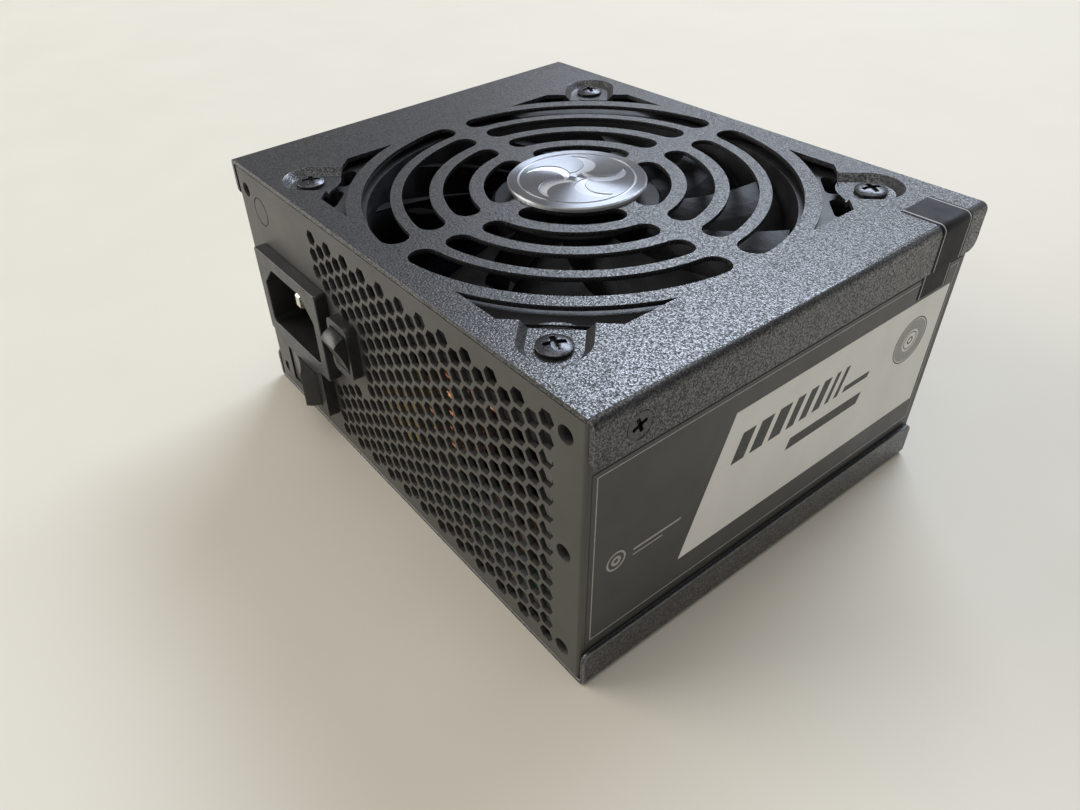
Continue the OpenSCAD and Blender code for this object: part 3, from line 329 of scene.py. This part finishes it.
def seal_film(node):
    """Black film with a pale line just inside its two long edges."""
    low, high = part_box(node)
    look = Look("black_seal_film", (0.02, 0.02, 0.022), 0.55, Specular_IOR_Level=0.15)
    middle = (low.y + high.y) / 2
    aside = look.maths("ABSOLUTE", look.maths("SUBTRACT", look.axis("Y"), middle))
    edge = (high.y - low.y) / 2
    # The line runs from about 0.5 to 0.8 mm inside each edge
    outer = look.between(aside, 1, 0, edge - 0.5 * MM, edge - 0.45 * MM)
    inner = look.between(aside, 0, 1, edge - 0.8 * MM, edge - 0.75 * MM)
    line = look.maths("MULTIPLY", outer, inner)
    black = look.blend(look.noise(5), (0.014, 0.014, 0.016), (0.026, 0.026, 0.029))
    look.set("Base Color", look.blend(line, black, (0.42, 0.41, 0.39)))
    look.worn(0.5, 0.62, 4)
    look.set("Normal", look.bump(look.noise(7), 0.05))
    return look.material


def laminate():
    """Green circuit board with lighter tracks and bright solder points."""
    look = Look("green_board_laminate", (0.03, 0.12, 0.06), 0.35, Coat_Weight=0.4, Coat_Roughness=0.2)
    track_pitch, point_pitch = 3.2, 2.54
    track = look.between(look.cells(track_pitch, "DISTANCE_TO_EDGE"), 1, 0, 0.04, 0.07)
    base = look.blend(track, (0.012, 0.055, 0.028), (0.03, 0.13, 0.06))
    dot = look.between(look.cells(point_pitch, "F1"), 1, 0, 0.13, 0.17)
    look.set("Base Color", look.blend(dot, base, (0.55, 0.53, 0.48)))
    look.set("Metallic", look.maths("MULTIPLY", dot, 0.9))
    look.worn(0.3, 0.45, 5)
    look.set("Normal", look.bump(look.maths("MAXIMUM", track, dot), 0.035))
    return look.material


def enamel_copper():
    """Enamelled copper wire, with patches of darker and lighter tone."""
    look = Look("enamelled_copper", (0.5, 0.19, 0.08), 0.4,
                Metallic=0.7, Coat_Weight=0.4, Coat_Roughness=0.25)
    look.mottled((0.3, 0.09, 0.03), (0.58, 0.24, 0.11), 2.5)
    look.worn(0.34, 0.5, 0.8)
    look.set("Normal", look.bump(look.noise(0.5), 0.02))
    return look.material


def tape():
    """Glossy yellow tape wound round a bobbin, in bands of darker and lighter tone."""
    look = Look("yellow_tape", (0.8, 0.52, 0.1), 0.3, Coat_Weight=0.5, Coat_Roughness=0.1)
    bands = look.between(look.noise(3, 1.0, 0.5, look.stretched((0.15, 1, 0.15))), 0, 1, 0.35, 0.65)
    look.set("Base Color", look.blend(bands, (0.62, 0.36, 0.05), (0.86, 0.6, 0.16)))
    look.worn(0.22, 0.4, 3)
    look.set("Normal", look.bump(look.noise(1.5, 2.0, 0.5, look.stretched((0.3, 1, 0.3))), 0.05))
    return look.material


def ferrite():
    """Dull grey sintered ferrite."""
    look = Look("ferrite", (0.05, 0.05, 0.055), 0.6)
    look.mottled((0.03, 0.03, 0.034), (0.075, 0.075, 0.08), 1.2)
    look.worn(0.5, 0.72, 2)
    look.set("Normal", look.bump(look.noise(0.25, 4.0, 0.7), 0.04))
    return look.material


def sleeve(name, dark, light, pale):
    """Shrunk film on a can that lies along X, with a few large pale patches."""
    look = Look(name, light, 0.3, Coat_Weight=0.5, Coat_Roughness=0.15)
    base = look.blend(look.noise(4), dark, light)
    patch_pitch = 26
    patch = look.between(look.cells(patch_pitch, "F1"), 0, 1, 0.62, 0.63)
    look.set("Base Color", look.blend(patch, base, pale))
    look.worn(0.24, 0.4, 3)
    look.set("Normal", look.bump(look.noise(2.5, 1.0, 0.5, look.stretched((0.2, 1, 1))), 0.06))
    return look.material


# What makes the material of each slot: two colours, the range of roughness and, where they are given,
# the coat of a film, the stretch, size and depth of a metal's streaks, or a plastic's grain and its depth
LOOKS = {
    "cover_paint": coarse_paint,
    "frame_paint": lambda: satin_paint(
        "satin_frame_paint", (0.056, 0.054, 0.049), (0.066, 0.064, 0.058), 0.4, 0.48),
    "panel_paint": lambda: satin_paint(
        "satin_panel_paint", (0.022, 0.022, 0.022), (0.03, 0.03, 0.03), 0.4, 0.5),
    "black_screw": lambda: metal(
        "black_oxide_screw", (0.05, 0.05, 0.055), (0.14, 0.14, 0.15), 0.26, 0.42),
    "rivet": lambda: metal(
        "blackened_rivet", (0.05, 0.05, 0.052), (0.1, 0.1, 0.103), 0.34, 0.48),
    "badge_metal": lambda: spun_metal("badge"),
    "label_film": lambda: film(
        "dark_label_film", (0.026, 0.0255, 0.0245), (0.034, 0.033, 0.031), 0.4, 0.48, 0.15),
    "label_print": lambda: film(
        "pale_label_print", (0.74, 0.72, 0.68), (0.8, 0.78, 0.735), 0.38, 0.46, 0.2),
    "rating_film": lambda: film(
        "white_rating_film", (0.66, 0.65, 0.62), (0.74, 0.73, 0.7), 0.4, 0.5, 0.1),
    "seal_film": lambda: seal_film("warranty_seal"),
    "inlet_plastic": lambda: plastic(
        "inlet_nylon", (0.013, 0.013, 0.013), (0.026, 0.0255, 0.0245), 0.3, 0.42, 0.45, 0.07),
    "contact_metal": lambda: metal(
        "nickel_contact", (0.6, 0.57, 0.5), (0.82, 0.79, 0.71), 0.18, 0.32, (1, 0.2, 1)),
    "switch_plastic": lambda: plastic(
        "switch_body_plastic", (0.015, 0.015, 0.015), (0.028, 0.028, 0.0275), 0.32, 0.44, 0.4, 0.06),
    "rocker_plastic": lambda: plastic(
        "rocker_plastic", (0.018, 0.017, 0.017), (0.03, 0.029, 0.028), 0.26, 0.36, 0.5, 0.008),
    "mode_rocker_plastic": lambda: plastic(
        "grey_rocker_plastic", (0.016, 0.016, 0.017), (0.03, 0.03, 0.031), 0.26, 0.38, 0.5, 0.03),
    "fan_plastic": lambda: plastic(
        "fan_frame_plastic", (0.012, 0.012, 0.014), (0.026, 0.027, 0.03), 0.35, 0.48),
    "blade_plastic": lambda: plastic(
        "fan_blade_plastic", (0.004, 0.004, 0.005), (0.01, 0.01, 0.011), 0.4, 0.5, 0.3, 0.05,
        Specular_IOR_Level=0.2),
    "magnet": lambda: metal(
        "magnet_ring", (0.1, 0.09, 0.08), (0.2, 0.18, 0.17), 0.4, 0.6),
    "shaft_steel": lambda: metal(
        "shaft_steel", (0.55, 0.56, 0.58), (0.75, 0.76, 0.78), 0.12, 0.22, (1, 1, 0.1)),
    "bearing_bronze": lambda: metal(
        "sintered_bronze", (0.35, 0.22, 0.1), (0.6, 0.42, 0.2), 0.35, 0.5),
    "core_steel": lambda: metal(
        "laminated_steel", (0.25, 0.26, 0.28), (0.5, 0.51, 0.53), 0.3, 0.5, (0.05, 0.05, 1), 0.35, 0.05),
    "copper": enamel_copper,
    "board_laminate": laminate,
    "standoff_brass": lambda: metal(
        "standoff_brass", (0.5, 0.36, 0.13), (0.75, 0.58, 0.26), 0.25, 0.4),
    "bright_screw": lambda: metal(
        "zinc_screw", (0.45, 0.46, 0.48), (0.7, 0.71, 0.73), 0.22, 0.36),
    "insulation": lambda: film(
        "insulation_sheet", (0.55, 0.52, 0.42), (0.66, 0.63, 0.53), 0.4, 0.55),
    "heatsink": lambda: metal(
        "extruded_aluminium", (0.5, 0.51, 0.53), (0.72, 0.73, 0.75), 0.3, 0.45, (1, 1, 0.06), 0.3),
    "capacitor_sleeve": lambda: sleeve(
        "capacitor_sleeve", (0.015, 0.016, 0.03), (0.03, 0.032, 0.055), (0.5, 0.5, 0.52)),
    "capacitor_can": lambda: metal(
        "capacitor_can", (0.45, 0.46, 0.48), (0.68, 0.69, 0.71), 0.25, 0.4, (1, 1, 0.1)),
    "ferrite": ferrite,
    "coated_core": lambda: plastic(
        "coated_core", (0.02, 0.035, 0.024), (0.05, 0.075, 0.055), 0.35, 0.5, 0.4, 0.03),
    "tape": tape,
    "film_case": lambda: plastic(
        "film_capacitor_case", (0.55, 0.35, 0.05), (0.72, 0.5, 0.1), 0.35, 0.5, 0.4, 0.02),
    "disc_coat": lambda: plastic(
        "disc_capacitor_coat", (0.07, 0.024, 0.01), (0.13, 0.045, 0.02), 0.3, 0.45, 0.8, 0.04),
    "component_epoxy": lambda: plastic(
        "component_epoxy", (0.012, 0.012, 0.012), (0.03, 0.03, 0.03), 0.5, 0.65, 0.2, 0.03),
    "socket_nylon": lambda: plastic(
        "socket_nylon", (0.008, 0.008, 0.009), (0.02, 0.02, 0.021), 0.36, 0.48, 0.25, 0.012),
    "pin_metal": lambda: metal(
        "gilded_pins", (0.55, 0.42, 0.2), (0.8, 0.66, 0.38), 0.2, 0.34, (1, 0.2, 1)),
    "busbar_copper": lambda: metal(
        "tinned_copper_bar", (0.5, 0.25, 0.13), (0.78, 0.45, 0.28), 0.25, 0.42, (1, 1, 0.1)),
    "lead_sleeve": lambda: plastic(
        "black_lead_sleeve", (0.012, 0.012, 0.013), (0.025, 0.025, 0.027), 0.35, 0.5),
    "brown_insulation": lambda: plastic(
        "brown_insulation", (0.12, 0.045, 0.018), (0.18, 0.07, 0.03), 0.35, 0.5),
    "blue_insulation": lambda: plastic(
        "blue_insulation", (0.02, 0.07, 0.25), (0.035, 0.11, 0.36), 0.35, 0.5),
    "earth_insulation": lambda: plastic(
        "green_insulation", (0.05, 0.2, 0.04), (0.09, 0.3, 0.07), 0.35, 0.5),
}


# ---------------------------------------------------------------- the CAD's own nodes

# Width of the rounded edges, in millimetres
USUAL_WIDTH = 0.1
EDGE_WIDTH = {
    "top_cover": 0.24, "bottom_tray": 0.2, "main_frame": 0.12, "output_panel": 0.12, "badge": 0.06,
    "inlet_housing": 0.3, "power_switch_frame": 0.25, "mode_switch_frame": 0.25,
    "power_switch_rocker": 0.25, "mode_switch_rocker": 0.2, "fan_frame": 0.3, "fan_rotor": 0.08,
    "inlet_pins": 0.2, "cover_screws": 0.08, "tray_screws": 0.08, "fan_screws": 0.1,
    "primary_heatsink": 0.12, "secondary_heatsink": 0.12, "socket_pins": 0.12,
    "motherboard_sockets": 0.08, "eight_pin_sockets": 0.08, "six_pin_socket": 0.08,
    "transformer_core": 0.4, "transformer_winding": 0.2, "boost_choke_core": 0.8, "filter_choke_core": 0.6,
    "boost_choke_winding": 0.5, "filter_choke_winding": 0.4, "bulk_capacitors": 0.8, "film_capacitors": 0.5,
    "disc_capacitors": 0.9, "output_capacitors": 0.35, "bridge_rectifier": 0.3, "power_transistors": 0.15,
}
# Pieces with so many holes that their flat faces stay in triangles
PIERCED = {"main_frame", "top_cover", "output_panel", "socket_board", "motherboard_sockets",
           "eight_pin_sockets", "six_pin_socket"}
# Name and colour of the lighter paint on rounded edges, a painted highlight along them, where it differs
# from the rest
EDGE_HIGHLIGHT_PAINT = {
    "top_cover": ("cover_edge_highlight", (0.2, 0.21, 0.235)),
    "bottom_tray": ("tray_edge_highlight", (0.12, 0.125, 0.14)),
    "main_frame": ("frame_edge_highlight", (0.12, 0.117, 0.108)),
}


def soften(piece, width):
    """Joins the faces of a CAD mesh and rounds its sharp edges to a width in millimetres."""
    weld = piece.modifiers.new("weld", "WELD")
    weld.merge_threshold = 0.0005 * MM
    if piece.name not in PIERCED:
        flat = piece.modifiers.new("flat_faces", "DECIMATE")
        flat.decimate_type = "DISSOLVE"
        flat.angle_limit = math.radians(0.3)
    edges = piece.modifiers.new("edges", "BEVEL")
    edges.width = width * MM
    edges.segments = 2
    edges.limit_method = "ANGLE"
    edges.angle_limit = math.radians(32)
    edges.harden_normals = True
    edges.miter_outer = "MITER_ARC"
    return edges


def finish_nodes():
    """Gives each CAD node its slot's material and its rounded edges."""
    made = {}
    for name, piece in NODES.items():
        slot = SLOT_OF[name]
        if slot not in made:
            made[slot] = LOOKS[slot]()
        piece.data.materials.clear()
        piece.data.materials.append(made[slot])
        edges = soften(piece, EDGE_WIDTH.get(name, USUAL_WIDTH))
        # The rounded edges of these pieces take the lighter paint, a painted highlight
        if name in EDGE_HIGHLIGHT_PAINT:
            piece.data.materials.append(edge_highlight_paint(*EDGE_HIGHLIGHT_PAINT[name]))
            edges.material = 1


# ---------------------------------------------------------------- printed details

INK = 0.02                              # thickness of a printed mark, in millimetres


def bar(left, low, right, high, lean=0.0):
    """Outline of a bar whose upper side is shifted by lean."""
    return [(left, low), (right, low), (right + lean, high), (left + lean, high)]


def ring(middle, outer, inner, count=48):
    """Outlines of the small four-sided patches that make up a ring."""
    turn = [math.tau * k / count for k in range(count + 1)]
    near, far = [[(middle[0] + r * math.cos(a), middle[1] + r * math.sin(a)) for a in turn]
                 for r in (inner, outer)]
    return [[near[k], far[k], far[k + 1], near[k + 1]] for k in range(count)]


def frame_lines(left, low, right, high, width):
    """Outlines of the four lines round a rectangle."""
    return [bar(left, low, right, low + width), bar(left, high - width, right, high),
            bar(left, low + width, left + width, high - width),
            bar(right - width, low + width, right, high - width)]


def print_on(name, outlines, place, look, body):
    """Makes a thin printed mark out of outlines in millimetres, which a function puts in place."""
    shape = bmesh.new()
    for outline in outlines:
        shape.faces.new([shape.verts.new(place(a, b)) for a, b in outline])
    bmesh.ops.remove_doubles(shape, verts=shape.verts, dist=0.001 * MM)
    mesh = bpy.data.meshes.new(name)
    shape.to_mesh(mesh)
    shape.free()
    piece = add_object(name, mesh)
    piece.data.materials.append(look)
    skin = piece.modifiers.new("ink", "SOLIDIFY")
    skin.thickness = INK * MM
    skin.offset = 1
    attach(piece, body)


def ink(name, dark, light):
    """Matt printing ink with faint patches."""
    look = Look(name, light, 0.45)
    look.mottled(dark, light, 1.5)
    look.worn(0.4, 0.52, 1.0)
    look.set("Normal", look.bump(look.noise(0.3), 0.003))
    return look.material


def print_side_label(black, grey, pale):
    """Slanted stripes, a plain rosette and thin lines in place of the label's printed marks."""
    panel_low, panel_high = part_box("side_label_panel")
    film_low, film_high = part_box("side_label")

    def on_panel(y, z):
        return (panel_high.x, y * MM, z * MM)

    def on_film(y, z):
        return (film_high.x, y * MM, z * MM)

    left, right = panel_low.y / MM, panel_high.y / MM
    low, high = panel_low.z / MM, panel_high.z / MM
    near_edge_run = 10.2                # how far back the panel's near edge leans over its height
    slant = near_edge_run / (high - low)
    widths, gap = (3.4, 3.4, 3.4, 2.2, 2.2, 2.2, 1.2, 1.2), 1.6
    row, tall = high - 12.4, 6.4        # foot and height of the row of stripes
    dash_length, dash_height = 8, 1.3   # dash that follows them
    under, small = high - 18.4, 2.6     # foot and height of the bar under them
    bar_before, bar_after = 15.5, 6.5   # how far it reaches each way from the stripes' end
    start = left + slant * (row - low) + 5
    stripes = []
    for width in widths:
        stripes.append(bar(start, row, start + width, row + tall, slant * tall))
        start += width + gap
    dash_top = row + dash_height
    stripes.append(bar(start, row, start + dash_length, dash_top, slant * dash_height))
    stripes.append(bar(start - bar_before, under, start + bar_after, under + small, slant * small))
    print_on("label_stripes", stripes, on_panel, black, "housing")
    rosette = (right - 9.5, (low + high) / 2 + 5)
    print_on("label_rosette", ring(rosette, 4.9, 2.6), on_panel, grey, "housing")
    rings = ring(rosette, 5.4, 5.15) + ring(rosette, 2.1, 1.9) + ring(rosette, 0.9, 0.6, 24)
    print_on("label_rosette_lines", rings, on_panel, black, "housing")

    left, right = film_low.y / MM, film_high.y / MM
    low, high = film_low.z / MM, film_high.z / MM
    inset, line = 0.9, 0.22             # the edging's distance from the film's edges, and its width
    edging = frame_lines(left + inset, low + inset, right - inset, high - inset, line)
    print_on("label_edging", edging, on_film, pale, "housing")
    y, z = left + 6.2, low + 0.44 * (high - low)
    plain = ring((y, z), 2.2, 1.8, 36) + ring((y, z), 1.1, 0.5, 24)
    line_start = y + 4
    plain.append(bar(line_start, z - 0.25, y + 15.5, z + 0.25))
    plain.append(bar(line_start, z - 1.45, y + 11, z - 1.15))
    print_on("label_small_mark", plain, on_film, pale, "housing")


def print_rating_label(black):
    """Empty table of a rating label, with short bars where its entries would be, seen from -X."""
    low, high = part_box("rating_label")
    margin, line = 1.2, 0.3
    left, right = -high.y / MM + margin, -low.y / MM - margin
    bottom, top = low.z / MM + margin, high.z / MM - margin

    def place(across, z):
        return (low.x, -across * MM, z * MM)

    lines = frame_lines(left, bottom, right, top, line)
    rows, columns = 5, 6
    heading = 10                        # height of the space above the table
    table_top = top - heading
    row_h, column_w = (table_top - bottom) / rows, (right - left) / columns
    for k in range(1, rows + 1):
        z = bottom + k * row_h
        lines.append(bar(left, z - line / 3, right, z + line / 3))
    for k in range(1, columns):
        across = left + k * column_w
        lines.append(bar(across - line / 3, bottom + line, across + line / 3, table_top))
    entry = 0.35                        # half the height of an entry's bar
    for i in range(rows):
        for k in range(columns):
            across, z = left + (k + 0.5) * column_w, bottom + (i + 0.5) * row_h
            half = column_w * (0.2 + 0.08 * ((3 * i + 2 * k) % 3))
            lines.append(bar(across - half, z - entry, across + half, z + entry))
    indent = left + 3
    lines.append(bar(indent, top - 5.6, left + 34, top - 2.6))
    lines.append(bar(indent, top - 8.2, left + 28, top - 7.2))
    print_on("rating_table", lines, place, black, "housing")
    disc = (right - 6, top - 5)
    rings = ring(disc, 3.4, 3.0) + ring(disc, 2.0, 0.8, 32)
    print_on("rating_rosette", rings, place, black, "housing")


def print_rocker(pale):
    """The off ring and the on bar, draped over the hollow face of the power switch's rocker."""
    mesh = NODES["power_switch_rocker"].data
    low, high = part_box("power_switch_rocker")
    start = low.y - 5 * MM              # in front of the face
    tree = BVHTree.FromPolygons([v.co for v in mesh.vertices], [p.vertices for p in mesh.polygons])

    def drape(x, z):
        hit = tree.ray_cast(Vector((x * MM, start, z * MM)), Vector((0, 1, 0)))[0]
        return hit - Vector((0, INK * MM, 0))

    middle = (low.z + high.z) / 2 / MM
    raised, sunk = high.x / MM - 4.4, low.x / MM + 4.2
    off_ring = ring((raised, middle), 1.35, 1.0, 32)
    print_on("rocker_off_mark", off_ring, drape, pale, "power_rocker")
    half_length, half_width, step = 1.3, 0.18, 0.2
    steps = [middle - half_length + step * k for k in range(14)]
    pieces = [bar(sunk - half_width, a, sunk + half_width, b) for a, b in zip(steps, steps[1:])]
    print_on("rocker_on_mark", pieces, drape, pale, "power_rocker")


make_camera()
make_studio()
make_floor()
finish_nodes()
black_ink = ink("black_ink", (0.02, 0.02, 0.02), (0.035, 0.035, 0.034))
pale_ink = ink("pale_ink", (0.3, 0.295, 0.28), (0.42, 0.41, 0.39))
grey_ink = ink("grey_ink", (0.3, 0.295, 0.28), (0.36, 0.35, 0.335))
print_side_label(black_ink, grey_ink, pale_ink)
print_rating_label(black_ink)
print_rocker(pale_ink)
